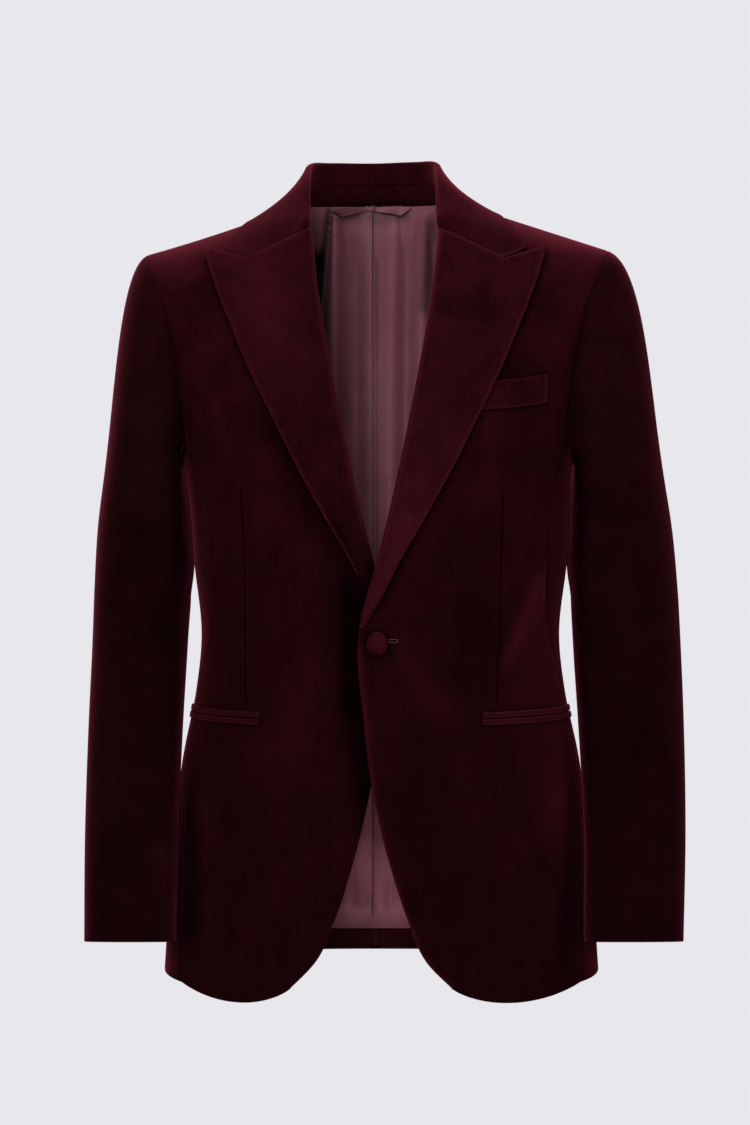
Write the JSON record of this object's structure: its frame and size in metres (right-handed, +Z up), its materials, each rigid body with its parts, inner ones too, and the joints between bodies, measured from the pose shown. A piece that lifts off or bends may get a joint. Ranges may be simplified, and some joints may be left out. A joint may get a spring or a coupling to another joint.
{
  "type": "velvet dinner jacket",
  "caption": "Velvet single-breasted dinner jacket, filled out as if worn, with peak lapels, jetted hip pockets, a breast welt, a covered button and an open lined body.",
  "frame": {"origin": "middle of the neck opening, level with the neck ends of the shoulder seams, where the wearer's shoulders carry the jacket", "axes": "+Z up, along the length of the jacket; the jacket faces -Y; +X is the wearer's left"},
  "size_m": [0.5687, 0.267, 0.8033],
  "materials": {
    "velvet": "deep burgundy cotton velvet with a short pile that lightens at grazing angles",
    "satin_lining": "mauve burgundy satin lining with a soft sheen"
  },
  "bodies": {
    "root": {"front_left": "velvet", "front_right": "velvet", "side_panel_left": "velvet", "side_panel_right": "velvet", "back_left": "velvet", "back_right": "velvet", "sleeve_top_left": "velvet", "sleeve_top_right": "velvet", "sleeve_under_left": "velvet", "sleeve_under_right": "velvet", "lapel_left": "velvet", "lapel_right": "velvet", "collar": "velvet", "collar_band": "velvet", "breast_welt": "velvet", "pocket_jet_upper_left": "velvet", "pocket_jet_lower_left": "velvet", "pocket_jet_upper_right": "velvet", "pocket_jet_lower_right": "velvet", "button": "velvet", "lining_back_left": "satin_lining", "lining_back_right": "satin_lining", "hanger_loop": "satin_lining"}
  },
  "joints": []
}
